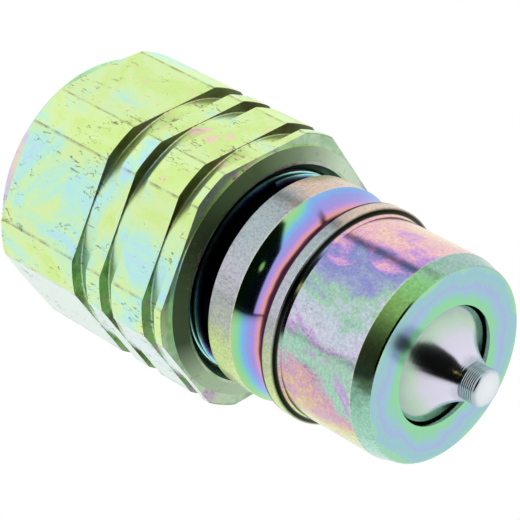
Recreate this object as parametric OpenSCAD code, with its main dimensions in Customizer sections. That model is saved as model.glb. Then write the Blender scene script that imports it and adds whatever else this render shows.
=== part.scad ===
// Male plug of a poppet quick coupling (ISO 7241-1 series A, size 12.5).
// The plug lies on one flat of its hexagon with its axis along X.
// X = 0 is the rear face, around the mouth of the threaded port. The nose points to +X.

/* [Adapter hexagon] */
// Width across the flats
hex_af = 26; // [25.9:0.1:26.4]
// Diameter to which the corners are turned down
corner_d = 28.1; // [27.7:0.1:28.6]
// Length of the adapter from its rear face to its mouth
adapter_len = 26; // [25.8:0.1:27]
// Diameter of the turned collar at the rear end
rear_collar_d = 25.5; // [24.5:0.1:25.7]
// Length of the turned collar at the rear end
rear_collar_len = 1.25; // [0.8:0.05:1.6]
// Edge break of the rear collar
rear_break = 0.3; // [0.1:0.05:0.5]
// Length over which the hexagon's rear corners are chamfered
hex_chamfer_len = 0.5; // [0.3:0.05:1]
// Distance from the mouth back to the plane where the corners end
corner_setback = 0.85; // [0.6:0.05:1.1]
// Diameter of the shallow cone on the front face where it begins
front_cone_d = 25.6; // [25:0.1:25.8]
// Diameter of the flat lip around the mouth
front_lip_d = 22.9; // [22.8:0.1:24]
// Depth of the cone below the lip
front_cone_h = 0.6; // [0.3:0.05:0.7]
// Diameter of the mouth where its countersink begins
mouth_d = 22.4; // [21.9:0.1:22.6]
// Depth of the mouth's countersink
mouth_sink = 0.6; // [0.3:0.1:0.9]
// Diameter at the bottom of the mouth's countersink
mouth_inner_d = 21.5; // [21.1:0.1:21.8]

/* [Adapter grooves] */
// Width of the first groove
ring_1_w = 2.05; // [1.4:0.05:2.4]
// Width of the second groove
ring_2_w = 1.7; // [1.2:0.05:2]
// Width of the third groove
ring_3_w = 1.75; // [1.2:0.05:2]
// Diameter of the groove floors
ring_floor_d = 25.8; // [25.2:0.1:25.9]
// Fillet radius at the foot of the groove walls
ring_fillet = 0.2; // [0.1:0.05:0.3]
// Rear edge of the first groove
ring_1 = 12.45; // [12:0.05:13]
// Rear edge of the second groove
ring_2 = 16.45; // [16:0.05:17]
// Rear edge of the third groove
ring_3 = 22.5; // [21.5:0.05:22.6]

/* [Rear port G 1/2] */
// Major diameter of the internal thread
port_d = 20.955; // [20.5:0.005:21.4]
// Depth of the full thread
port_depth = 14; // [13:0.5:14]
// Width of the mouth's chamfer
port_chamfer = 0.6; // [0.3:0.1:0.8]
// Slope of the drill cone below the thread, in degrees
drill_angle = 31; // [25:1:35]
// Diameter of the flow passage behind the port
flow_d = 15.8; // [15.2:0.1:16]

/* [Threaded joint between adapter and tip] */
// Thickness of the wall between the port's thread and the seat of the valve guide
web_t = 2.2; // [2.1:0.1:2.4]
// Outside diameter of the tip's shank thread
shank_d = 20.66; // [20.4:0.02:20.8]
// Radial clearance of the shank in the adapter
shank_gap = 0.03; // [0.01:0.01:0.06]
// Diameter of the plain pilot behind the thread
pilot_d = 19.74; // [19.6:0.02:19.9]
// Length of the pilot's bore from the seat of the guide
pilot_len = 4.4; // [4.2:0.1:4.6]
// How far behind the mouth the full thread stops and the relief begins
thread_back = 1; // [0.6:0.1:1.2]
// Diameter of the thread relief behind the shoulder
relief_d = 18.7; // [18.2:0.1:19]
// Length of the gap between the adapter's mouth and the shoulder
relief_gap = 2.07; // [1.8:0.01:2.3]
// Width of the groove for the body seal
gland_w = 1.5; // [1.4:0.1:1.6]
// Distance from the tip's rear end to the groove for the body seal
gland_in = 0.6; // [0.5:0.05:0.7]
// Diameter at the bottom of the groove for the body seal
gland_d = 17.8; // [17.7:0.1:18]

/* [Tip outside] */
// Diameter of the sealing nose
nose_d = 20.5; // [20.3:0.01:20.6]
// Length of the nose from the locking collar's foot to its face
nose_len = 11.07; // [10.5:0.01:11.5]
// Length of the lead-in taper on the nose
taper_len = 1.9; // [1.4:0.1:2.4]
// Diameter of the taper at its front end
taper_d = 19.6; // [19:0.1:19.9]
// Edge break between the taper and the front face
face_break = 0.15; // [0.05:0.05:0.25]
// Diameter of the locking collar
collar_d = 21.9; // [21.6:0.05:22.2]
// Length of the locking collar at full diameter
collar_len = 1; // [0.8:0.05:1.3]
// Length of the sloping foot between the collar and the nose
foot_len = 0.33; // [0.2:0.01:0.5]
// Fillet radius between the foot and the nose
foot_fillet = 0.3; // [0.2:0.05:0.5]
// Width of the ball groove
ball_w = 4.26; // [4.1:0.01:4.5]
// Diameter at the bottom of the ball groove
ball_d = 19.85; // [19.6:0.05:20.1]
// Radius of the groove's long rear sweep
ball_sweep = 4.5; // [4:0.1:5.5]
// Radius of the groove's front corner
ball_corner = 0.9; // [0.7:0.05:1]
// Slope of the locking face against the axis, in degrees
lock_angle = 60; // [45:1:65]
// Diameter of the rear shoulder
shoulder_d = 21.9; // [21.6:0.05:22.2]
// Length of the rear shoulder
shoulder_len = 3.27; // [2.8:0.01:3.5]
// Edge break at the rear of the shoulder
shoulder_break = 0.25; // [0.1:0.05:0.4]

/* [Tip inside] */
// Diameter of the front bore
bore_d = 12; // [11.8:0.05:12.2]
// Diameter of the valve chamber
chamber_d = 15.8; // [15.6:0.1:16]

/* [Poppet] */
// Distance the tip of the poppet stands out of the front face
proud = 5.2; // [5:0.1:5.6]
// Distance the poppet's rim lies below the front face
rim_below = 0.6; // [0.4:0.1:0.9]
// Diameter of the poppet's rim
rim_d = 11.5; // [11.2:0.05:11.6]
// Length of the rim's cylindrical land
land_len = 1.6; // [1.4:0.1:1.8]
// Diameter of the neck where the concave cone ends
neck_d = 4; // [3.7:0.05:4.2]
// Diameter of the tip pin
tip_d = 3.64; // [3.4:0.02:3.68]
// Length of the tip pin
tip_len = 1.8; // [1.4:0.1:2.2]
// Rounding of the tip pin's end
tip_round = 0.25; // [0.1:0.05:0.4]
// Radius of the concave cone
flare_r = 7; // [5:0.5:12]
// Length of the metal lip in front of the seal
lip_len = 0.55; // [0.4:0.05:0.6]
// Radial room between the metal lip and the seat
lip_gap = 0.2; // [0.15:0.01:0.25]
// Diameter on which the valve seal sits
seal_seat_d = 9.2; // [9:0.1:9.4]
// Diameter of the stem under the retainer and along the spring
stem_d = 6.8; // [6.6:0.1:7]
// Diameter of the stem's guided tail
tail_d = 4; // [3.8:0.05:4.2]
// Length of the guided tail
tail_len = 11.5; // [11:0.1:12]
// Travel of the valve when the coupling is joined
stroke = 5; // [4.5:0.1:5]
// Room left between the stem's step and the hub at full travel
stop_gap = 0.05; // [0.03:0.01:0.1]
// Edge break at the tail's end
tail_break = 0.3; // [0.1:0.1:0.5]

/* [Valve seal and retainer] */
// Thickness of the valve seal
seal_t = 1.75; // [1.7:0.05:1.85]
// Diameter of the valve seal
seal_d = 14.4; // [14.2:0.1:14.6]
// Room between the seal's cone and the seat
seal_gap = 0.03; // [0.01:0.01:0.05]
// Thickness of the seal retainer
retainer_t = 1.2; // [1:0.1:1.4]
// How far the seal stands out past its retainer
seal_over = 0.3; // [0.1:0.05:0.5]

/* [Valve guide] */
// Thickness of the guide's ring and legs
guide_t = 1.8; // [1.7:0.05:1.9]
// Width of each leg
leg_w = 2.2; // [1.6:0.1:3]
// Number of legs
legs = 3; // [3:1:4]
// Diameter of the guide's hub
hub_d = 6.4; // [6.2:0.1:6.8]
// Length of the hub
hub_len = 10.8; // [10:0.1:11]
// Width of the step at the hub's root
hub_root = 0.4; // [0.2:0.1:0.6]
// Radial clearance of the tail in the hub
tail_gap = 0.05; // [0.02:0.01:0.1]

/* [Spring] */
// Wire diameter
wire_d = 1.3; // [1.1:0.05:1.4]
// Mean diameter of the coils
coil_d = 10.4; // [10:0.1:10.8]
// Number of working coils
coils = 6.5; // [5:0.5:7]
// Number of closed coils at each end
end_coils = 1; // [0.75:0.25:1.25]

/* [Hidden] */
$fn = 96;
e = 0.5;
// stations along the axis, from the rear face to the front face
x_shoulder = adapter_len + relief_gap;
x_groove = x_shoulder + shoulder_len;
x_collar = x_groove + ball_w;
x_foot = x_collar + collar_len;
x_nose = x_foot + foot_len;
x_face = x_nose + nose_len;
guide_seat = port_depth + web_t;
x_guide = guide_seat + guide_t;
pilot_end = guide_seat + pilot_len;
thread_end = adapter_len - thread_back;
gland_x = x_guide + gland_in;
x_port_cone = port_depth + (port_d - flow_d) / 2 * tan(drill_angle);
bore_r = bore_d / 2;
chamber_r = chamber_d / 2;
shank_r = shank_d / 2;
pilot_r = pilot_d / 2;
// poppet stations, closed
x_rim = x_face - rim_below;
x_lip = x_rim - land_len;
x_seal = x_lip - lip_len;
x_retainer = x_seal - seal_t;
x_spring = x_retainer - retainer_t;
x_tip = x_face + proud;
x_neck = x_tip - tip_len;
// the 45 degree seat: radius plus station is the same all along it
seat_sum = rim_d / 2 + x_lip + lip_gap;
seal_sum = seat_sum - seal_gap;
// ball groove: the rear sweep meets the front corner at the lowest point
ball_r = ball_d / 2;
ball_up = shoulder_d / 2 - ball_r;
x_low = x_groove + sqrt(ball_sweep * ball_sweep - (ball_sweep - ball_up) * (ball_sweep - ball_up));
lock_x = x_low + ball_corner * sin(lock_angle);
lock_r = ball_r + ball_corner * (1 - cos(lock_angle));
lock_top = lock_r + (x_collar - lock_x) * tan(lock_angle);
// the stem's step stops on the hub at the end of the valve's travel
x_step = guide_seat + hub_len + stroke + stop_gap;
tail_end = x_step - tail_len;

// turns a [radius, station] profile about the X axis
module turned() rotate([0, 90, 0]) rotate_extrude() children();

// a plain band of the profile between two radii and two stations
module band(r0, r1, a, b) polygon([[r0, a], [r1, a], [r1, b], [r0, b]]);

// a groove cutter that opens outward, with filleted lower corners
module ring_cut(a, w) {
    r = ring_floor_d / 2;
    union() {
        band(r + ring_fillet, corner_d, a, a + w);
        band(r, corner_d, a + ring_fillet, a + w - ring_fillet);
        translate([r + ring_fillet, a + ring_fillet]) circle(ring_fillet, $fn = 32);
        translate([r + ring_fillet, a + w - ring_fillet]) circle(ring_fillet, $fn = 32);
    }
}

// hexagonal adapter: bar turned at both ends, three grooves, port and thread bored through
module adapter() color([0.80, 0.83, 0.42]) {
    cr = corner_d / 2;
    x_corner = adapter_len - corner_setback;
    difference() {
        intersection() {
            translate([-e, 0, 0]) rotate([0, 90, 0]) rotate([0, 0, 30])
                cylinder(d = hex_af / cos(30), h = adapter_len + 2 * e, $fn = 6);
            turned() difference() {
                polygon([
                    [0, 0],
                    [rear_collar_d / 2 - rear_break, 0],
                    [rear_collar_d / 2, rear_break],
                    [rear_collar_d / 2, rear_collar_len],
                    [cr, rear_collar_len + hex_chamfer_len],
                    [cr, x_corner],
                    [front_cone_d / 2, x_corner],
                    [front_cone_d / 2, adapter_len - front_cone_h],
                    [front_lip_d / 2, adapter_len],
                    [0, adapter_len]
                ]);
                ring_cut(ring_1, ring_1_w);
                ring_cut(ring_2, ring_2_w);
                ring_cut(ring_3, ring_3_w);
            }
        }
        turned() polygon([
            [0, -e],
            [port_d / 2 + port_chamfer + e, -e],
            [port_d / 2, port_chamfer],
            [port_d / 2, port_depth],
            [flow_d / 2, x_port_cone],
            [flow_d / 2, guide_seat],
            [pilot_r + shank_gap, guide_seat],
            [pilot_r + shank_gap, pilot_end],
            [shank_r + shank_gap, pilot_end + 0.3],
            [shank_r + shank_gap, thread_end],
            [mouth_inner_d / 2, adapter_len - mouth_sink],
            [mouth_d / 2, adapter_len],
            [mouth_d / 2, adapter_len + e],
            [0, adapter_len + e]
        ]);
    }
}

// tip body: nose, locking collar, ball groove, shoulder and shank turned in one piece
module tip_body() color([0.80, 0.80, 0.72]) turned() difference() {
    polygon([
        [0, x_guide],
        [pilot_r - 0.2, x_guide],
        [pilot_r, x_guide + 0.2],
        [pilot_r, pilot_end - 0.1],
        [shank_r, pilot_end + 0.5],
        [shank_r, thread_end],
        [relief_d / 2, thread_end + 0.4],
        [relief_d / 2, x_shoulder],
        [shoulder_d / 2 - shoulder_break, x_shoulder],
        [shoulder_d / 2, x_shoulder + shoulder_break],
        [shoulder_d / 2, x_groove],
        [collar_d / 2, x_collar],
        [collar_d / 2, x_foot],
        [nose_d / 2 + foot_fillet / 2, x_nose],
        [nose_d / 2, x_nose + foot_fillet],
        [nose_d / 2, x_face - taper_len],
        [taper_d / 2, x_face - face_break],
        [taper_d / 2 - face_break, x_face],
        [0, x_face]
    ]);
    band(gland_d / 2, shank_r, gland_x, gland_x + gland_w);
    ball_cut();
    // front bore, 45 degree seat and valve chamber
    polygon([
        [-e, x_face + e],
        [bore_r, x_face + e],
        [bore_r, seat_sum - bore_r],
        [chamber_r, seat_sum - chamber_r],
        [chamber_r, x_guide - e],
        [-e, x_guide - e]
    ]);
}

// cutter for the ball groove: a long sweep behind, a tight corner and a locking face in front
module ball_cut() {
    intersection() {
        translate([ball_r + ball_sweep, x_low]) circle(ball_sweep, $fn = 128);
        band(ball_r - 1, shoulder_d / 2 + 2, x_groove - 2, x_low);
    }
    intersection() {
        translate([ball_r + ball_corner, x_low]) circle(ball_corner, $fn = 64);
        band(ball_r - 1, ball_r + ball_corner, x_low, x_low + ball_corner);
    }
    polygon([
        [ball_r + ball_corner, x_low - 0.01],
        [lock_r, lock_x],
        [lock_top, x_collar],
        [lock_top + 2, x_collar + 2 / tan(lock_angle)],
        [lock_top + 2, x_low - 0.01]
    ]);
}

// seal ring in the groove of the shank, squeezed flat against both walls
module body_seal() color([0.09, 0.09, 0.10]) turned() {
    t = pilot_r + shank_gap - gland_d / 2 - 0.02;
    translate([gland_d / 2 + 0.01 + t / 2, gland_x + gland_w / 2]) {
        square([t, gland_w - 0.1 - t], center = true);
        translate([0, (gland_w - 0.1 - t) / 2]) circle(d = t, $fn = 48);
        translate([0, -(gland_w - 0.1 - t) / 2]) circle(d = t, $fn = 48);
    }
}

// valve guide: disc with windows between its legs and a long hub for the poppet's tail
module valve_guide() color([0.72, 0.66, 0.34]) difference() {
    union() {
        turned() band(0, pilot_r, guide_seat, guide_seat + guide_t);
        turned() band(0, hub_d / 2, guide_seat + e, guide_seat + hub_len);
    }
    translate([guide_seat - e, 0, 0]) rotate([0, 90, 0])
        linear_extrude(guide_t + 2 * e) window_shape();
    turned() band(0, tail_d / 2 + tail_gap, guide_seat - e, guide_seat + hub_len + e);
}

// outline of the flow windows between the legs
module window_shape() difference() {
    circle(d = flow_d);
    circle(d = hub_d + 2 * hub_root);
    for (i = [0 : legs - 1])
        rotate(180 + i * 360 / legs) translate([0, -leg_w / 2]) square([flow_d, leg_w]);
}

// poppet: tip pin, concave cone, rim, seal seat, stem and guided tail in one turned piece
module poppet() color([0.86, 0.86, 0.88]) turned() {
    difference() {
        polygon([
            [0, tail_end],
            [tail_d / 2 - tail_break, tail_end],
            [tail_d / 2, tail_end + tail_break],
            [tail_d / 2, x_step],
            [stem_d / 2, x_step],
            [stem_d / 2, x_retainer],
            [seal_seat_d / 2, x_retainer],
            [seal_seat_d / 2, x_seal],
            [rim_d / 2 + lip_len, x_seal],
            [rim_d / 2, x_lip],
            [rim_d / 2, x_rim],
            [neck_d / 2, x_neck],
            [tip_d / 2, x_neck],
            [tip_d / 2, x_tip - tip_round],
            [0, x_tip - tip_round]
        ]);
        flare_cut();
    }
    band(0, tip_d / 2 - tip_round, x_tip - tip_round - 0.1, x_tip);
    translate([tip_d / 2 - tip_round, x_tip - tip_round]) circle(tip_round, $fn = 48);
}

// cutter for the poppet's concave cone: an arc through the rim and the neck
module flare_cut() {
    dr = rim_d / 2 - neck_d / 2;
    dx = x_neck - x_rim;
    half = sqrt(dr * dr + dx * dx) / 2;
    off = sqrt(flare_r * flare_r - half * half);
    cx = (rim_d + neck_d) / 4 + off * dx / (2 * half);
    cy = (x_rim + x_neck) / 2 + off * dr / (2 * half);
    intersection() {
        translate([cx, cy]) circle(flare_r, $fn = 128);
        band(neck_d / 2, rim_d / 2 + e, x_rim, x_neck);
    }
}

// moulded valve seal with a 45 degree face that meets the seat
module valve_seal() color([0.10, 0.10, 0.11]) turned() polygon([
    [seal_seat_d / 2, x_retainer],
    [seal_d / 2, x_retainer],
    [seal_d / 2, seal_sum - seal_d / 2],
    [seal_sum - x_seal, x_seal],
    [seal_seat_d / 2, x_seal]
]);

// retainer washer pressed on the stem behind the seal
module seal_retainer() color([0.70, 0.70, 0.68]) turned()
    band(stem_d / 2, seal_d / 2 - seal_over, x_spring, x_retainer);

// axial station of the wire's centre after t turns: closed end, open coils, closed end
function wire_station(t, start, lead) = start + min(t, end_coils) * wire_d
    + max(0, min(t - end_coils, coils)) * lead
    + max(0, t - end_coils - coils) * wire_d;

// compression spring between the guide's legs and the retainer
module spring() color([0.66, 0.67, 0.70]) {
    sides = 8;
    per = 20;
    w = wire_d / 2;
    first = x_guide + w;
    lead = (x_spring - w - first - 2 * end_coils * wire_d) / coils;
    n = round((coils + 2 * end_coils) * per);
    pts = [for (i = [0 : n]) for (j = [0 : sides - 1])
        let (a = 360 * i / per, b = 360 * j / sides, r = coil_d / 2 + w * cos(b))
        [wire_station(i / per, first, lead) + w * sin(b), r * cos(a), r * sin(a)]];
    polyhedron(pts, concat(
        [[for (j = [0 : sides - 1]) j]],
        [for (i = [0 : n - 1]) for (j = [0 : sides - 1]) let (k = (j + 1) % sides)
            [i * sides + j, (i + 1) * sides + j, (i + 1) * sides + k, i * sides + k]],
        [[for (j = [sides - 1 : -1 : 0]) n * sides + j]]
    ));
}

adapter();
tip_body();
body_seal();
valve_guide();
poppet();
valve_seal();
seal_retainer();
spring();
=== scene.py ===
import bpy
import math
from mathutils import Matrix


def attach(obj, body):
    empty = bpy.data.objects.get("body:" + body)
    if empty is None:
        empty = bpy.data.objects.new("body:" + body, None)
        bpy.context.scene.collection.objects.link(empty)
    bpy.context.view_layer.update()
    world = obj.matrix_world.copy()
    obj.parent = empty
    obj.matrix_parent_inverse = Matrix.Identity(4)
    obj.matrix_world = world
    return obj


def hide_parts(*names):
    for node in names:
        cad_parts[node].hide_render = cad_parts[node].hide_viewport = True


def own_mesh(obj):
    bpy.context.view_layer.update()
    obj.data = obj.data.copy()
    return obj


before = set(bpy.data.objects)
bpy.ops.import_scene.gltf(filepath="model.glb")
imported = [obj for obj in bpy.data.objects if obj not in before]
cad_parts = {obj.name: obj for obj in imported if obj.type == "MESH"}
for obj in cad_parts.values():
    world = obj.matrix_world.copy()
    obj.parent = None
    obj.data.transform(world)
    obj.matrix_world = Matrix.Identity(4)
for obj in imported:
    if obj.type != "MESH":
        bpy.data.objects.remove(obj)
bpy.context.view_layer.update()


# Studio: the plug lies on a white table in a white tent. The tent is open on the side
# that faces its nose, so bright metal mirrors the dark room and one small lamp there.
mm = 0.001


def linear(hex_colour):
    """An sRGB hex colour as linear red, green, blue and alpha."""
    parts = [int(hex_colour[i:i + 2], 16) / 255 for i in (1, 3, 5)]
    return [c / 12.92 if c <= 0.04045 else ((c + 0.055) / 1.055) ** 2.4 for c in parts] + [1]


def add_node(tree, kind, settings=None, links=None):
    """Add a node. Settings go by property name or input number, links by input number."""
    made = tree.nodes.new(kind)
    for name, value in (settings or {}).items():
        if name == "stops":
            while len(made.color_ramp.elements) < len(value):
                made.color_ramp.elements.new(1.0)
            for element, (place, colour) in zip(made.color_ramp.elements, value):
                element.position = place
                element.color = linear(colour)
        elif isinstance(name, str):
            setattr(made, name, value)
        else:
            made.inputs[name].default_value = value
    for socket, source in (links or {}).items():
        if isinstance(source, bpy.types.Node):
            source = source.outputs[0]
        tree.links.new(source, made.inputs[socket])
    return made


def new_material(name):
    made = bpy.data.materials.new(name)
    made.use_nodes = True
    made.node_tree.nodes.clear()
    return made


def dress(piece, material):
    piece.data.materials.clear()
    piece.data.materials.append(material)


scene = bpy.context.scene
scene.view_settings.view_transform = "Standard"

camera_data = bpy.data.cameras.new("camera")
camera_data.lens = 187.8
camera_data.sensor_width = 36
camera_data.clip_start = 10 * mm
camera = bpy.data.objects.new("camera", camera_data)
camera.location = (185.34 * mm, -146.51 * mm, 141.58 * mm)
camera.rotation_euler = (math.radians(57.1), math.radians(1.94), math.radians(46.55))
scene.collection.objects.link(camera)
scene.camera = camera

bpy.ops.object.select_all(action="DESELECT")
bpy.ops.mesh.primitive_plane_add(size=4, location=(0, 0, -13.02 * mm))
table = bpy.context.object
table.name = "table"
table_paint = new_material("matt white table top")
tree = table_paint.node_tree
rays = tree.nodes.new("ShaderNodeLightPath")
seen = add_node(tree, "ShaderNodeMath", {"operation": "MAXIMUM"},
                {0: rays.outputs["Is Camera Ray"], 1: rays.outputs["Is Glossy Ray"]})
paint = add_node(tree, "ShaderNodeBsdfDiffuse", {0: linear("#e8e8e8")})
# towards the opening the table top ends, so metal mirrors it fading into the dark room
spot = tree.nodes.new("ShaderNodeNewGeometry").outputs["Position"]
out_to = add_node(tree, "ShaderNodeVectorMath", {"operation": "DOT_PRODUCT", 1: (0.64, -0.77, 0)},
                  {0: spot}).outputs["Value"]
ending = add_node(tree, "ShaderNodeMapRange", {1: 70 * mm, 2: 260 * mm, 3: 0, 4: 1}, {0: out_to})
ending = add_node(tree, "ShaderNodeMath", {"operation": "MULTIPLY"},
                  {0: ending, 1: rays.outputs["Is Glossy Ray"]})
strength = add_node(tree, "ShaderNodeMath", {"operation": "SUBTRACT", 0: 1.0}, {1: ending})
glow = add_node(tree, "ShaderNodeEmission", {0: (1, 1, 1, 1)}, {1: strength})
mixed = add_node(tree, "ShaderNodeMixShader", {}, {0: seen, 1: paint, 2: glow})
add_node(tree, "ShaderNodeOutputMaterial", {}, {0: mixed})
dress(table, table_paint)

world = bpy.data.worlds.new("tent")
scene.world = world
world.use_nodes = True
tree = world.node_tree
tree.nodes.clear()
where = tree.nodes.new("ShaderNodeTexCoord").outputs["Generated"]
# the opening is a soft-edged window, centred 49 degrees from +X towards -Y
turned = add_node(tree, "ShaderNodeMapping",
                  {"vector_type": "VECTOR", 2: (0, 0, math.radians(49))}, {0: where})
facing = add_node(tree, "ShaderNodeSeparateXYZ", {}, {0: turned})
ahead = add_node(tree, "ShaderNodeMath", {"operation": "MAXIMUM", 1: 0.001}, {0: facing.outputs[0]})
side = add_node(tree, "ShaderNodeMath", {"operation": "DIVIDE"}, {0: facing.outputs[1], 1: ahead})
side = add_node(tree, "ShaderNodeMath", {"operation": "ABSOLUTE"}, {0: side})
rise = add_node(tree, "ShaderNodeMath", {"operation": "DIVIDE"}, {0: facing.outputs[2], 1: ahead})
opening = None
for slope, start, end, at_start in ((side, 1.15, 1.4, 1), (rise, -0.2, 0.02, 0), (rise, 2.8, 4.2, 1)):
    inside = add_node(tree, "ShaderNodeMapRange",
                      {"interpolation_type": "SMOOTHSTEP", 1: start, 2: end, 3: at_start, 4: 1 - at_start},
                      {0: slope})
    if opening is None:
        opening = inside
    else:
        opening = add_node(tree, "ShaderNodeMath", {"operation": "MULTIPLY"}, {0: opening, 1: inside})
# a dark seam in the cloth runs over the plug, from the opening's far side
seam = add_node(tree, "ShaderNodeVectorMath", {"operation": "DOT_PRODUCT", 1: (0, -0.866, 0.5)},
                {0: where}).outputs["Value"]
seam = add_node(tree, "ShaderNodeMath", {"operation": "ABSOLUTE"}, {0: seam})
seam = add_node(tree, "ShaderNodeMapRange", {1: 0.03, 2: 0.09, 3: 0.92, 4: 0}, {0: seam})
behind = add_node(tree, "ShaderNodeMapRange", {1: -0.65, 2: -0.4, 3: 1, 4: 0}, {0: facing.outputs[0]})
seam = add_node(tree, "ShaderNodeMath", {"operation": "MULTIPLY"}, {0: seam, 1: behind})
dark = add_node(tree, "ShaderNodeMath", {"operation": "MAXIMUM"}, {0: opening, 1: seam})
cloth = add_node(tree, "ShaderNodeMix",
                 {"data_type": "RGBA", 6: (1, 1, 1, 1), 7: (0.004, 0.005, 0.004, 1)}, {0: dark}).outputs[2]
lamp = add_node(tree, "ShaderNodeVectorMath", {"operation": "DOT_PRODUCT", 1: (0.23, -0.707, 0.669)},
                {0: where}).outputs["Value"]
lamp = add_node(tree, "ShaderNodeMapRange", {1: 0.996, 2: 0.999, 3: 0, 4: 1}, {0: lamp})
around = add_node(tree, "ShaderNodeMix", {"data_type": "RGBA", 7: (0.9, 0.75, 0.2, 1)},
                  {0: lamp, 6: cloth}).outputs[2]
light = add_node(tree, "ShaderNodeBackground", {1: 1.0}, {0: around})
add_node(tree, "ShaderNodeOutputWorld", {}, {0: light})


# Adapter: free-cutting steel hexagon bar, turned at both ends and in its grooves, then
# zinc plated and yellow passivated. The film's thickness varies, so its colour drifts
# between yellow-green, pale blue and pink. Handling has left fine scratches and pits.
def from_axis(tree, coord):
    """How far a point lies from the plug's axis, in metres."""
    flat = add_node(tree, "ShaderNodeVectorMath", {"operation": "MULTIPLY", 1: (0, 1, 1)}, {0: coord})
    return add_node(tree, "ShaderNodeVectorMath", {"operation": "LENGTH"}, {0: flat}).outputs["Value"]


def share_of_turn(tree, place):
    """Angle round the axis as a share of a turn: 0.5 on top, 0.75 at -Y, 0.25 at +Y."""
    turn = add_node(tree, "ShaderNodeMath", {"operation": "ARCTAN2"},
                    {0: place.outputs[2], 1: place.outputs[1]})
    turn = add_node(tree, "ShaderNodeMath", {"operation": "MULTIPLY_ADD", 1: 1 / math.tau, 2: 0.25}, {0: turn})
    return add_node(tree, "ShaderNodeMath", {"operation": "WRAP", 1: 1.0, 2: 0.0}, {0: turn})


def hairlines(tree, cloud, level, width, depth):
    """Thin lines where a cloud crosses a level, like scratches that wander."""
    gap = add_node(tree, "ShaderNodeMath", {"operation": "SUBTRACT", 1: level}, {0: cloud})
    gap = add_node(tree, "ShaderNodeMath", {"operation": "ABSOLUTE"}, {0: gap})
    return add_node(tree, "ShaderNodeMapRange", {1: 0.001, 2: width, 3: depth, 4: 0}, {0: gap})


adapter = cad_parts["adapter"]
rear_collar_end = 1.25 * mm
mouth_start = 25.12 * mm
yellow_zinc = new_material("yellow-passivated zinc-plated steel, hexagon bar")
tree = yellow_zinc.node_tree
coord = tree.nodes.new("ShaderNodeTexCoord").outputs["Object"]
place = add_node(tree, "ShaderNodeSeparateXYZ", {}, {0: coord})
normal = add_node(tree, "ShaderNodeSeparateXYZ", {},
                  {0: tree.nodes.new("ShaderNodeNewGeometry").outputs["Normal"]})
# clouds of film thickness, about 8 mm across with finer ones in them
cloud = add_node(tree, "ShaderNodeTexNoise", {2: 120, 3: 6, 4: 0.66, 8: 0.9}, {0: coord})
# the flats on the -Y side took more of the blue end of the film, the top one less
leaning = add_node(tree, "ShaderNodeMapRange", {1: -0.3, 2: -0.8, 3: 0, 4: 0.022}, {0: normal.outputs[1]})
topmost = add_node(tree, "ShaderNodeMapRange", {1: 0.9, 2: 0.97, 3: 0, 4: 0.02}, {0: normal.outputs[2]})
leaning = add_node(tree, "ShaderNodeMath", {"operation": "SUBTRACT"}, {0: leaning, 1: topmost})
cloud = add_node(tree, "ShaderNodeMath", {"operation": "ADD"}, {0: cloud, 1: leaning})
film = add_node(tree, "ShaderNodeValToRGB", {"stops": [
    (0.29, "#ffbcd6"), (0.34, "#fae6c8"), (0.39, "#dcfc98"), (0.48, "#e6ffb6"),
    (0.55, "#d8ffcc"), (0.61, "#c6fcf0"), (0.68, "#caf2ff")]}, {0: cloud})
# the lower flats are painted nearly white, a painted reflection of the white table
lower_flat_painted_reflection = add_node(tree, "ShaderNodeMapRange", {1: -0.1, 2: -0.35, 3: 0, 4: 0.85}, {0: normal.outputs[2]})
film = add_node(tree, "ShaderNodeMix", {"data_type": "RGBA", 7: linear("#f2ffff")},
                {0: lower_flat_painted_reflection, 6: film}).outputs[2]
# the rear collar carries a green, pink and lilac film in patches of about 9 mm
rear = add_node(tree, "ShaderNodeMapRange",
                {1: rear_collar_end + 0.03 * mm, 2: rear_collar_end - 0.03 * mm, 3: 0, 4: 1},
                {0: place.outputs[0]})
rear_cloud = add_node(tree, "ShaderNodeTexNoise", {2: 110, 3: 3, 4: 0.5}, {0: coord})
rear_film = add_node(tree, "ShaderNodeValToRGB", {"stops": [
    (0.38, "#c0f8bc"), (0.46, "#dcf8e8"), (0.53, "#e6d6f2"), (0.62, "#f4e6d4")]}, {0: rear_cloud})
film = add_node(tree, "ShaderNodeMix", {"data_type": "RGBA"}, {0: rear, 6: film, 7: rear_film}).outputs[2]
# the grooves' walls that face the nose: dark green film, darkened as a painted reflection of the dark room, in
# patches of about 4 mm
wall = add_node(tree, "ShaderNodeMapRange", {1: 0.45, 2: 0.75, 3: 0, 4: 1}, {0: normal.outputs[0]})
wall_cloud = add_node(tree, "ShaderNodeTexNoise", {2: 260, 3: 4, 4: 0.6}, {0: coord})
wall_painted_reflection = add_node(tree, "ShaderNodeValToRGB", {"stops": [
    (0.35, "#5d5a3c"), (0.46, "#6d8a58"), (0.54, "#8fb87c"), (0.66, "#a89aa8")]}, {0: wall_cloud})
# the upper part of each wall is painted brown, a darker part of the same painted reflection
upper_wall_painted_brown = add_node(tree, "ShaderNodeMapRange", {1: 8 * mm, 2: 11.5 * mm, 3: 0, 4: 0.8}, {0: place.outputs[2]})
wall_painted_reflection = add_node(tree, "ShaderNodeMix", {"data_type": "RGBA", 7: linear("#54433c")},
                     {0: upper_wall_painted_brown, 6: wall_painted_reflection}).outputs[2]
film = add_node(tree, "ShaderNodeMix", {"data_type": "RGBA"}, {0: wall, 6: film, 7: wall_painted_reflection}).outputs[2]
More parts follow.
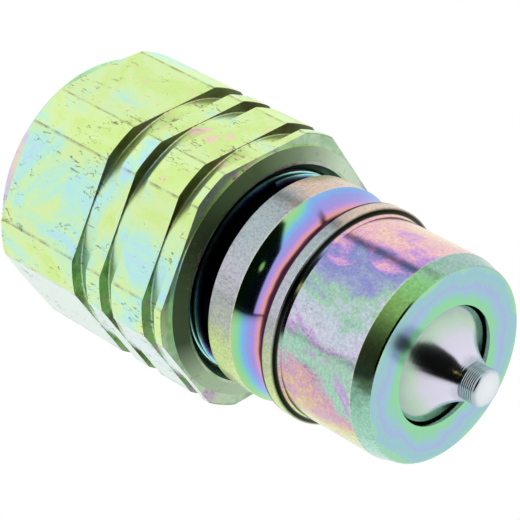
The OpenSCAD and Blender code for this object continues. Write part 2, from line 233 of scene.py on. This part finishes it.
# front face: pale green corner facets round a cone painted dark on one side, film with painted reflection of the
# dark room and the nipple over it
at_mouth = add_node(tree, "ShaderNodeMath", {"operation": "GREATER_THAN", 1: mouth_start},
                    {0: place.outputs[0]})
flat_face = add_node(tree, "ShaderNodeMapRange", {1: 0.96, 2: 0.98, 3: 0, 4: 1}, {0: normal.outputs[0]})
facet = add_node(tree, "ShaderNodeMath", {"operation": "MULTIPLY"}, {0: at_mouth, 1: flat_face})
facet_film_and_reflection = add_node(tree, "ShaderNodeValToRGB", {"stops": [
    (0.34, "#8fae8c"), (0.45, "#aacda8"), (0.54, "#c4dcb8"), (0.64, "#c4b8c8")]}, {0: wall_cloud})
film = add_node(tree, "ShaderNodeMix", {"data_type": "RGBA"}, {0: facet, 6: film, 7: facet_film_and_reflection}).outputs[2]
cone_painted_reflection = add_node(tree, "ShaderNodeValToRGB", {"stops": [
    (0.00, "#b8d0b0"), (0.36, "#cadfc4"), (0.45, "#7c9070"), (0.52, "#485c3c"),
    (0.78, "#3a4c32"), (0.85, "#a4bc9a"), (1.00, "#b8d0b0")]}, {0: share_of_turn(tree, place)})
not_flat = add_node(tree, "ShaderNodeMath", {"operation": "SUBTRACT", 0: 1.0}, {1: flat_face})
cone = add_node(tree, "ShaderNodeMath", {"operation": "MULTIPLY"}, {0: at_mouth, 1: not_flat})
outward = add_node(tree, "ShaderNodeMath", {"operation": "GREATER_THAN", 1: 0.3}, {0: normal.outputs[0]})
cone = add_node(tree, "ShaderNodeMath", {"operation": "MULTIPLY"}, {0: cone, 1: outward})
film = add_node(tree, "ShaderNodeMix", {"data_type": "RGBA"}, {0: cone, 6: film, 7: cone_painted_reflection}).outputs[2]
# the lathe left a thin brown line where each turned corner meets its flat
reach = from_axis(tree, coord)
line = add_node(tree, "ShaderNodeMapRange", {1: 13.88 * mm, 2: 13.98 * mm, 3: 0, 4: 1}, {0: reach})
line_end = add_node(tree, "ShaderNodeMapRange", {1: 14 * mm, 2: 14.03 * mm, 3: 1, 4: 0.0}, {0: reach})
line = add_node(tree, "ShaderNodeMath", {"operation": "MULTIPLY"}, {0: line, 1: line_end})
worn = add_node(tree, "ShaderNodeTexNoise", {2: 900, 3: 3, 4: 0.6}, {0: coord})
worn = add_node(tree, "ShaderNodeMapRange", {1: 0.4, 2: 0.65, 3: 0.1, 4: 0.75}, {0: worn})
line = add_node(tree, "ShaderNodeMath", {"operation": "MULTIPLY"}, {0: line, 1: worn})
film = add_node(tree, "ShaderNodeMix", {"data_type": "RGBA", 7: linear("#8c8070")},
                {0: line, 6: film}).outputs[2]
# pits about 0.5 mm long, gathered in fields about 4 mm across
drawn_out = add_node(tree, "ShaderNodeMapping", {1: (0, 0, 0), 2: (0.4, 0.2, 0.6), 3: (0.35, 1, 1)},
                     {0: coord})
pits = add_node(tree, "ShaderNodeTexNoise", {2: 1900, 3: 3, 4: 0.75, 8: 1.2}, {0: drawn_out})
pit_field = add_node(tree, "ShaderNodeTexNoise", {2: 260, 3: 4, 4: 0.7}, {0: coord})
pit_sum = add_node(tree, "ShaderNodeMath", {"operation": "MULTIPLY_ADD", 1: 0.75}, {0: pit_field, 2: pits})
pit_mask = add_node(tree, "ShaderNodeMapRange", {1: 1.02, 2: 1.12, 3: 0, 4: 0.8}, {0: pit_sum})
film = add_node(tree, "ShaderNodeMix", {"data_type": "RGBA", 7: linear("#6c7050")},
                {0: pit_mask, 6: film}).outputs[2]
# hairlines wander through the film and break off
hair_cloud = add_node(tree, "ShaderNodeTexNoise", {2: 190, 3: 5, 4: 0.62, 8: 0.4}, {0: drawn_out})
hair = hairlines(tree, hair_cloud, level=0.52, width=0.005, depth=0.75)
broken = add_node(tree, "ShaderNodeMapRange", {1: 0.5, 2: 0.58, 3: 0, 4: 1}, {0: pit_field})
hair = add_node(tree, "ShaderNodeMath", {"operation": "MULTIPLY"}, {0: hair, 1: broken})
film = add_node(tree, "ShaderNodeMix", {"data_type": "RGBA", 7: linear("#747a54")},
                {0: hair, 6: film}).outputs[2]
dent = add_node(tree, "ShaderNodeBump", {"invert": True, 0: 0.25, 1: 0.04 * mm}, {"Height": pit_mask})
# the passivation is slightly milky, so part of the light scatters in it
metal = add_node(tree, "ShaderNodeBsdfPrincipled", {1: 0.86, 2: 0.36}, {0: film, 5: dent})
add_node(tree, "ShaderNodeOutputMaterial", {}, {0: metal})
dress(adapter, yellow_zinc)


# Tip body: case-hardened steel turned in one piece, ground on the nose and in the ball
# groove, zinc plated and passivated. The film is thin on the ground faces, so they show
# every colour of a soap bubble, in bands that follow the axis and the turn.
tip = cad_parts["tip_body"]
ball_groove_start = 31.34 * mm
ball_groove_end = 35.6 * mm
taper_start = 46.12 * mm
bore_edge = 5.8 * mm
face_edge = 9.9 * mm


def along(x):
    """A place on the axis, in mm, as a share of the run from 25 to 49 mm."""
    return (x - 25) / 24


tip_zinc = new_material("iridescent passivated zinc-plated steel, turned")
tree = tip_zinc.node_tree
coord = tree.nodes.new("ShaderNodeTexCoord").outputs["Object"]
place = add_node(tree, "ShaderNodeSeparateXYZ", {}, {0: coord})
normal = add_node(tree, "ShaderNodeSeparateXYZ", {},
                  {0: tree.nodes.new("ShaderNodeNewGeometry").outputs["Normal"]})
# clouds of film thickness, about 4 mm across and drawn out along the axis, and 6 mm
stretched = add_node(tree, "ShaderNodeMapping", {3: (0.6, 1, 1)}, {0: coord})
streak = add_node(tree, "ShaderNodeTexNoise", {2: 230, 3: 8, 4: 0.66, 8: 1.2}, {0: stretched})
blotch = add_node(tree, "ShaderNodeTexNoise", {2: 170, 3: 3, 4: 0.55}, {0: coord})
# angle round the nose, pushed about by the clouds
angle = share_of_turn(tree, place)
pushed = add_node(tree, "ShaderNodeMath", {"operation": "MULTIPLY_ADD", 1: 0.28, 2: -0.14}, {0: streak})
more = add_node(tree, "ShaderNodeMath", {"operation": "MULTIPLY_ADD", 1: 0.2, 2: -0.1}, {0: blotch})
pushed = add_node(tree, "ShaderNodeMath", {"operation": "ADD"}, {0: pushed, 1: more})
phase = add_node(tree, "ShaderNodeMath", {"operation": "ADD"}, {0: angle, 1: pushed})
nose_film = add_node(tree, "ShaderNodeValToRGB", {"stops": [
    (0.00, "#c8e8a0"), (0.10, "#d8d0b0"), (0.20, "#c8b8d8"), (0.30, "#f4e0cc"), (0.39, "#f6deb4"),
    (0.44, "#f2ccb8"), (0.48, "#eebcc8"), (0.51, "#cc9cdc"), (0.53, "#8c90cc"), (0.57, "#9eaacc"),
    (0.60, "#a0ccb0"), (0.63, "#c0ccd8"), (0.66, "#cccede"), (0.69, "#c2a2d4"), (0.715, "#a2d6b8"),
    (0.745, "#b0c4c0"), (0.775, "#d4a4bc"), (0.805, "#dcc09c"), (0.85, "#dee2a0"),
    (0.92, "#d0ea9e")]}, {0: phase})
# shoulder and locking collar: matt grey with faint colours that drift round the turn
grey_phase = add_node(tree, "ShaderNodeMath", {"operation": "MULTIPLY_ADD", 1: 0.4}, {0: pushed, 2: angle})
grey_film = add_node(tree, "ShaderNodeValToRGB", {"stops": [
    (0.00, "#c4dca8"), (0.20, "#c0c0c4"), (0.40, "#dccab0"), (0.49, "#dabfae"), (0.53, "#a2aeb2"),
    (0.60, "#aebcc0"), (0.66, "#bcbcc8"), (0.71, "#b2b8b4"), (0.75, "#bccc9c"), (0.80, "#cee88e"),
    (0.90, "#c8dca8")]}, {0: grey_phase})
# ball groove: the film changes from its rear edge to the undercut behind the collar, where it is painted dark
# maroon as shade
groove_at = add_node(tree, "ShaderNodeMapRange", {1: ball_groove_start, 2: ball_groove_end, 3: 0, 4: 1},
                     {0: place.outputs[0]})
groove_push = add_node(tree, "ShaderNodeMath", {"operation": "MULTIPLY_ADD", 1: 0.16, 2: -0.08}, {0: blotch})
groove_at = add_node(tree, "ShaderNodeMath", {"operation": "ADD"}, {0: groove_at, 1: groove_push})
# on top the film starts blue, underneath it starts green
upper = add_node(tree, "ShaderNodeMapRange",
                 {"interpolation_type": "SMOOTHSTEP", 1: 0.54, 2: 0.5, 3: 0, 4: 0.36}, {0: angle})
back = add_node(tree, "ShaderNodeMath", {"operation": "SUBTRACT", 0: 0.66}, {1: groove_at})
groove_at = add_node(tree, "ShaderNodeMath", {"operation": "MULTIPLY_ADD"}, {0: back, 1: upper, 2: groove_at})
groove_film_and_shade = add_node(tree, "ShaderNodeValToRGB", {"stops": [
    (0.00, "#a4d888"), (0.13, "#88d4a8"), (0.24, "#7cb8ec"), (0.35, "#959ee4"), (0.47, "#a894dc"),
    (0.56, "#d898c6"), (0.62, "#dca088"), (0.67, "#6e3450"), (0.72, "#38142e"), (1.00, "#46203a")]},
    {0: groove_at})
# lead-in taper: teal film, with green and dark olive painted reflection on the side away from the table
is_taper = add_node(tree, "ShaderNodeMath", {"operation": "GREATER_THAN", 1: taper_start}, {0: place.outputs[0]})
taper_film_and_reflection = add_node(tree, "ShaderNodeValToRGB", {"stops": [
    (0.00, "#9cc8b4"), (0.40, "#a0c0bc"), (0.50, "#9cc0b4"), (0.545, "#88c880"), (0.60, "#7ca85c"),
    (0.66, "#586c44"), (0.71, "#547058"), (0.745, "#98ccb4"), (0.84, "#aadcc8"), (1.00, "#9cc8b4")]},
    {0: grey_phase})
# where each zone starts and stops along the axis: thread recess, ball groove, foot of the nose, nose, and the
# rims, which carry painted highlight lines
zone = add_node(tree, "ShaderNodeMapRange", {1: 25 * mm, 2: 49 * mm, 3: 0, 4: 1}, {0: place.outputs[0]})
is_recess, is_groove, is_foot, is_nose, is_rim = [
    add_node(tree, "ShaderNodeValToRGB", {"stops": [(along(x), shade) for x, shade in steps]}, {0: zone})
    for steps in (
        ((25, "#ffffff"), (28, "#ffffff"), (28.072, "#000000")),
        ((25, "#000000"), (31.336, "#000000"), (31.384, "#ffffff"), (35.5, "#ffffff"), (35.548, "#000000")),
        ((25, "#000000"), (36.616, "#000000"), (36.664, "#ffffff"), (36.904, "#ffffff"), (36.952, "#000000")),
        ((25, "#000000"), (36.904, "#000000"), (36.976, "#ffffff")),
        ((25, "#000000"), (28.048, "#000000"), (28.084, "#c0c0c0"), (28.204, "#000000"),
         (31.144, "#000000"), (31.24, "#d0d0d0"), (31.3408, "#d0d0d0"), (31.36, "#000000"),
         (36.448, "#000000"), (36.52, "#b0b0b0"), (36.5968, "#b0b0b0"), (36.616, "#000000"),
         (45.952, "#000000"), (46.024, "#c0c0c0"), (46.12, "#c0c0c0"), (46.156, "#000000")))]
film = grey_film
for amount, other in ((is_groove, groove_film_and_shade), (is_nose, nose_film), (is_taper, taper_film_and_reflection)):
    film = add_node(tree, "ShaderNodeMix", {"data_type": "RGBA"}, {0: amount, 6: film, 7: other}).outputs[2]
# painted shade in the thread recess and at the foot of the nose, painted highlight lines on the rims
for amount, shade in ((is_recess, "#241c20"), (is_foot, "#141a12"), (is_rim, "#d6dac8")):
    film = add_node(tree, "ShaderNodeMix", {"data_type": "RGBA", 7: linear(shade)},
                    {0: amount, 6: film}).outputs[2]
# a grain of about 0.3 mm everywhere but in the ground groove
grain = add_node(tree, "ShaderNodeTexNoise", {2: 3400, 3: 4, 4: 0.75}, {0: coord})
grain_light = add_node(tree, "ShaderNodeMapRange", {1: 0.3, 2: 0.7, 3: 0.74, 4: 1.22}, {0: grain})
not_ground = add_node(tree, "ShaderNodeMapRange", {1: 0, 2: 1, 3: 1, 4: 0.1}, {0: is_groove})
matt_light = add_node(tree, "ShaderNodeMath", {"operation": "SUBTRACT", 1: 1.0}, {0: grain_light})
matt_light = add_node(tree, "ShaderNodeMath", {"operation": "MULTIPLY_ADD", 2: 1.0},
                      {0: matt_light, 1: not_ground})
# hairline scratches, darker than the film round them
slanted = add_node(tree, "ShaderNodeMapping", {2: (0.5, 0.3, 0.9), 3: (0.3, 1, 1)}, {0: coord})
hair_cloud = add_node(tree, "ShaderNodeTexNoise", {2: 420, 3: 5, 4: 0.62}, {0: slanted})
hair = hairlines(tree, hair_cloud, level=0.5, width=0.006, depth=0.55)
broken = add_node(tree, "ShaderNodeMapRange", {1: 0.5, 2: 0.6, 3: 0, 4: 1}, {0: blotch})
hair = add_node(tree, "ShaderNodeMath", {"operation": "MULTIPLY"}, {0: hair, 1: broken})
hair = add_node(tree, "ShaderNodeMath", {"operation": "MULTIPLY"}, {0: hair, 1: not_ground})
film = add_node(tree, "ShaderNodeMix", {"data_type": "RGBA", 7: linear("#50505c")},
                {0: hair, 6: film}).outputs[2]
film = add_node(tree, "ShaderNodeVectorMath", {"operation": "SCALE"}, {0: film, 3: matt_light})
# front face: blue-grey with a green inner and outer ring, blurred by 7 mm clouds
ring_cloud = add_node(tree, "ShaderNodeTexNoise", {2: 150, 3: 8, 4: 0.72, 8: 0.8}, {0: coord})
ring = add_node(tree, "ShaderNodeMath", {"operation": "MULTIPLY_ADD", 1: 5 * mm, 2: -2.5 * mm}, {0: ring_cloud})
ring = add_node(tree, "ShaderNodeMath", {"operation": "ADD"}, {0: from_axis(tree, coord), 1: ring})
ring = add_node(tree, "ShaderNodeMapRange", {1: bore_edge, 2: face_edge, 3: 0, 4: 1}, {0: ring})
face_film = add_node(tree, "ShaderNodeValToRGB", {"stops": [
    (0.00, "#92dca0"), (0.20, "#94d4ac"), (0.34, "#9cc8d4"), (0.50, "#a8b8e0"), (0.62, "#9ccacc"),
    (0.78, "#9cc6d6"), (0.92, "#a0d8b0")]}, {0: ring})
is_face = add_node(tree, "ShaderNodeMapRange", {1: 0.8, 2: 0.9, 3: 0, 4: 1}, {0: normal.outputs[0]})
at_front = add_node(tree, "ShaderNodeMath", {"operation": "GREATER_THAN", 1: 47.5 * mm}, {0: place.outputs[0]})
is_face = add_node(tree, "ShaderNodeMath", {"operation": "MULTIPLY"}, {0: is_face, 1: at_front})
film = add_node(tree, "ShaderNodeMix", {"data_type": "RGBA"}, {0: is_face, 6: film, 7: face_film}).outputs[2]
# roughness: the ground groove is nearly a mirror, the nose duller, the shoulder matt
rough = add_node(tree, "ShaderNodeMapRange", {1: 0, 2: 1, 3: 0.24, 4: 0.1}, {0: is_groove})
keener = add_node(tree, "ShaderNodeMath", {"operation": "MULTIPLY", 1: 0.07}, {0: is_nose})
rough = add_node(tree, "ShaderNodeMath", {"operation": "SUBTRACT"}, {0: rough, 1: keener})
metal = add_node(tree, "ShaderNodeBsdfPrincipled", {1: 1.0}, {0: film, 2: rough})
add_node(tree, "ShaderNodeOutputMaterial", {}, {0: metal})
dress(tip, tip_zinc)


# Poppet: stainless steel turned to a bright finish and left unplated. The tool left fine
# rings round its tip pin, and the hollow of its cone is clouded by handling.
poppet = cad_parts["poppet"]
ring_pitch = 0.22 * mm
bright_steel = new_material("bright turned stainless steel")
tree = bright_steel.node_tree
coord = tree.nodes.new("ShaderNodeTexCoord").outputs["Object"]
place = add_node(tree, "ShaderNodeSeparateXYZ", {}, {0: coord})
tool = add_node(tree, "ShaderNodeMath", {"operation": "MULTIPLY", 1: math.tau / ring_pitch},
                {0: place.outputs[0]})
tool = add_node(tree, "ShaderNodeMath", {"operation": "SINE"}, {0: tool})
# the rings are deep on the pin and hardly there on the cone behind it
rings = add_node(tree, "ShaderNodeMapRange", {1: 50.8 * mm, 2: 51.4 * mm, 3: 0.03, 4: 0.35},
                 {0: place.outputs[0]})
height = add_node(tree, "ShaderNodeMath", {"operation": "MULTIPLY"}, {0: tool, 1: rings})
bump = add_node(tree, "ShaderNodeBump", {0: 0.6, 1: 0.03 * mm}, {"Height": height})
haze = add_node(tree, "ShaderNodeTexNoise", {2: 420, 3: 4, 4: 0.6}, {0: coord})
haze = add_node(tree, "ShaderNodeMath", {"operation": "MULTIPLY", 1: 1.2 * mm}, {0: haze})
reach = add_node(tree, "ShaderNodeMath", {"operation": "ADD"}, {0: from_axis(tree, coord), 1: haze})
reach = add_node(tree, "ShaderNodeMapRange", {1: 0.5 * mm, 2: 6.4 * mm, 3: 0, 4: 1}, {0: reach})
colour = add_node(tree, "ShaderNodeValToRGB", {"stops": [
    (0.00, "#ecf2f4"), (0.26, "#dfe6ea"), (0.34, "#aab6be"), (0.42, "#dcd8ea"), (0.62, "#d6d4e2"),
    (0.80, "#b8d2bc"), (0.95, "#a8bcb4")]}, {0: reach})
metal = add_node(tree, "ShaderNodeBsdfPrincipled", {1: 1.0, 2: 0.17}, {0: colour, 5: bump})
add_node(tree, "ShaderNodeOutputMaterial", {}, {0: metal})
dress(poppet, bright_steel)


# Port thread: G 1/2 parallel thread, tapped in the adapter's rear port for the hose end.
# Its ridges carry the same passivated zinc as the bore.
def wind_ridge(name, foot_width, start, inner, outer, crest_inside, pitch, rounds, steps):
    """A thread's ridge, wound round the axis from a tapered section. Sizes in mm."""
    bpy.ops.object.select_all(action="DESELECT")
    bpy.ops.mesh.primitive_plane_add(size=1, rotation=(math.pi / 2, 0, 0))
    ridge = bpy.context.object
    ridge.name = name
    bpy.ops.object.transform_apply(location=True, rotation=True, scale=True)
    middle = (inner + outer) / 2
    ridge.scale = (foot_width * mm, 1, (outer - inner) * mm)
    ridge.location = (start * mm, 0, middle * mm)
    bpy.ops.object.transform_apply(location=True, rotation=True, scale=True)
    bpy.ops.object.mode_set(mode="EDIT")
    bpy.ops.mesh.select_mode(type="VERT")
    bpy.ops.mesh.select_all(action="DESELECT")
    bpy.ops.object.mode_set(mode="OBJECT")
    for vertex in ridge.data.vertices:
        vertex.select = (vertex.co.z < middle * mm) == crest_inside
    bpy.ops.object.mode_set(mode="EDIT")
    bpy.ops.transform.resize(value=(0.2, 1, 1))
    bpy.ops.mesh.select_all(action="SELECT")
    bpy.ops.mesh.delete(type="ONLY_FACE")
    bpy.ops.object.mode_set(mode="OBJECT")
    turns = ridge.modifiers.new("turns", "SCREW")
    turns.axis = "X"
    turns.angle = math.tau
    turns.screw_offset = pitch * mm
    turns.iterations = rounds
    turns.steps = turns.render_steps = steps
    bpy.ops.object.modifier_apply(modifier="turns")
    bpy.ops.object.mode_set(mode="EDIT")
    bpy.ops.mesh.select_all(action="SELECT")
    bpy.ops.mesh.fill_holes(sides=4)
    bpy.ops.mesh.normals_make_consistent(inside=False)
    bpy.ops.object.mode_set(mode="OBJECT")
    bpy.ops.object.shade_smooth_by_angle(angle=math.radians(25))
    return ridge


port_thread = wind_ridge("port_thread", foot_width=1.7, start=1.3, inner=9.32, outer=10.52,
                         crest_inside=True, pitch=1.814, rounds=6, steps=72)
dress(port_thread, yellow_zinc)
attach(port_thread, "plug")


# Thread run-out: the last turns of the thread that screws the tip body into the adapter, left bare in the recess
# between them. Its crest is painted a pale turquoise highlight over the film, its root is painted dark as shade.
root = 9.35 * mm
crest = 10.33 * mm
run_out = wind_ridge("thread_run_out", foot_width=0.9, start=24.75, inner=9.3, outer=10.33,
                     crest_inside=False, pitch=0.75, rounds=2, steps=96)
thread_zinc = new_material("passivated zinc on a cut thread, worn at the crest")
tree = thread_zinc.node_tree
coord = tree.nodes.new("ShaderNodeTexCoord").outputs["Object"]
edge_wobble = add_node(tree, "ShaderNodeTexNoise", {2: 500, 3: 3, 4: 0.6}, {0: coord})
edge_wobble = add_node(tree, "ShaderNodeMath", {"operation": "MULTIPLY_ADD", 1: 0.4 * mm, 2: -0.2 * mm}, {0: edge_wobble})
reach = add_node(tree, "ShaderNodeMath", {"operation": "ADD"}, {0: from_axis(tree, coord), 1: edge_wobble})
reach = add_node(tree, "ShaderNodeMapRange", {1: root, 2: crest, 3: 0, 4: 1}, {0: reach})
# by distance from the axis: root painted near black as shade, crest painted pale turquoise as a highlight
crest_film_and_painted_light = add_node(tree, "ShaderNodeValToRGB", {"stops": [
    (0.00, "#0c0a0e"), (0.45, "#1c1628"), (0.70, "#6a4c9c"), (0.86, "#6cc8d8"),
    (0.95, "#bceee4")]}, {0: reach})
metal = add_node(tree, "ShaderNodeBsdfPrincipled", {1: 1.0, 2: 0.22}, {0: crest_film_and_painted_light})
add_node(tree, "ShaderNodeOutputMaterial", {}, {0: metal})
dress(run_out, thread_zinc)
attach(run_out, "plug")


# Valve guide: a turned carbon-steel disc with windows for the flow and a bored hub for
# the poppet's stem. Its zinc plating is thin, so the rings of the lathe show through.
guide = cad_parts["valve_guide"]
lathe_pitch = 0.18 * mm
guide_steel = new_material("turned carbon steel, zinc plated")
tree = guide_steel.node_tree
coord = tree.nodes.new("ShaderNodeTexCoord").outputs["Object"]
lathe = add_node(tree, "ShaderNodeMath", {"operation": "MULTIPLY", 1: math.tau / lathe_pitch},
                 {0: from_axis(tree, coord)})
lathe = add_node(tree, "ShaderNodeMath", {"operation": "SINE"}, {0: lathe})
tarnish = add_node(tree, "ShaderNodeTexNoise", {2: 240, 3: 4, 4: 0.6}, {0: coord})
steel = add_node(tree, "ShaderNodeValToRGB", {"stops": [
    (0.35, "#a8a48e"), (0.50, "#bab69f"), (0.62, "#ccc8b2")]}, {0: tarnish})
gloss = add_node(tree, "ShaderNodeMapRange", {1: 0.35, 2: 0.65, 3: 0.24, 4: 0.42}, {0: tarnish})
rings = add_node(tree, "ShaderNodeBump", {0: 0.35, 1: 0.01 * mm}, {"Height": lathe})
metal = add_node(tree, "ShaderNodeBsdfPrincipled", {1: 1.0}, {0: steel, 2: gloss, 5: rings})
add_node(tree, "ShaderNodeOutputMaterial", {}, {0: metal})
dress(guide, guide_steel)


# Seals: black nitrile rubber. The ring between the two bodies is a stock O-ring, the
# valve's own seal is moulded to its groove. Both are slightly matt with a fine bloom.
nitrile = new_material("moulded nitrile rubber")
tree = nitrile.node_tree
coord = tree.nodes.new("ShaderNodeTexCoord").outputs["Object"]
bloom = add_node(tree, "ShaderNodeTexNoise", {2: 700, 3: 4, 4: 0.65}, {0: coord})
black = add_node(tree, "ShaderNodeValToRGB", {"stops": [(0.35, "#141414"), (0.65, "#272625")]}, {0: bloom})
matt = add_node(tree, "ShaderNodeMapRange", {1: 0.35, 2: 0.65, 3: 0.42, 4: 0.6}, {0: bloom})
skin = add_node(tree, "ShaderNodeBump", {0: 0.2, 1: 0.01 * mm}, {"Height": bloom})
rubber = add_node(tree, "ShaderNodeBsdfPrincipled", {}, {0: black, 2: matt, 5: skin})
add_node(tree, "ShaderNodeOutputMaterial", {}, {0: rubber})
for name in ("body_seal", "valve_seal"):
    dress(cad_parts[name], nitrile)


# Seal retainer: a zinc-plated steel washer pressed on the poppet's stem behind the seal.
# It was faced on a lathe, and it also takes the front end of the spring.
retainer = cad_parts["seal_retainer"]
washer_steel = new_material("faced steel washer, zinc plated")
tree = washer_steel.node_tree
coord = tree.nodes.new("ShaderNodeTexCoord").outputs["Object"]
smear = add_node(tree, "ShaderNodeTexNoise", {2: 380, 3: 4, 4: 0.6}, {0: coord})
steel = add_node(tree, "ShaderNodeValToRGB", {"stops": [(0.35, "#b0ac98"), (0.65, "#cec9b6")]}, {0: smear})
gloss = add_node(tree, "ShaderNodeMapRange", {1: 0.35, 2: 0.65, 3: 0.18, 4: 0.32}, {0: smear})
metal = add_node(tree, "ShaderNodeBsdfPrincipled", {1: 1.0}, {0: steel, 2: gloss})
add_node(tree, "ShaderNodeOutputMaterial", {}, {0: metal})
dress(retainer, washer_steel)


# Valve spring: hard-drawn stainless wire, coiled cold with its end turns closed. It stands
# between the guide and the poppet and shortens as the poppet is pushed in.
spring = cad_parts["spring"]
bpy.ops.object.select_all(action="DESELECT")
wire = bpy.data.objects.new("spring_wire", spring.data.copy())
wire.matrix_world = spring.matrix_world.copy()
scene.collection.objects.link(wire)
wire.select_set(True)
bpy.context.view_layer.objects.active = wire
bpy.ops.object.transform_apply(location=True, rotation=True, scale=True)
bpy.ops.object.mode_set(mode="EDIT")
bpy.ops.mesh.select_all(action="SELECT")
bpy.ops.mesh.remove_doubles(threshold=0.002 * mm)
bpy.ops.mesh.normals_make_consistent(inside=False)
bpy.ops.object.mode_set(mode="OBJECT")
bpy.ops.object.shade_smooth_by_angle(angle=math.radians(50))
spring_steel = new_material("hard-drawn stainless spring wire")
tree = spring_steel.node_tree
coord = tree.nodes.new("ShaderNodeTexCoord").outputs["Object"]
drawn = add_node(tree, "ShaderNodeTexNoise", {2: 900, 3: 3, 4: 0.6}, {0: coord})
steel = add_node(tree, "ShaderNodeValToRGB", {"stops": [(0.35, "#8c8e92"), (0.65, "#b2b4b8")]}, {0: drawn})
gloss = add_node(tree, "ShaderNodeMapRange", {1: 0.35, 2: 0.65, 3: 0.2, 4: 0.36}, {0: drawn})
metal = add_node(tree, "ShaderNodeBsdfPrincipled", {1: 1.0}, {0: steel, 2: gloss})
add_node(tree, "ShaderNodeOutputMaterial", {}, {0: metal})
dress(wire, spring_steel)
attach(wire, "plug")
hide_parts("spring")
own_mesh(wire)
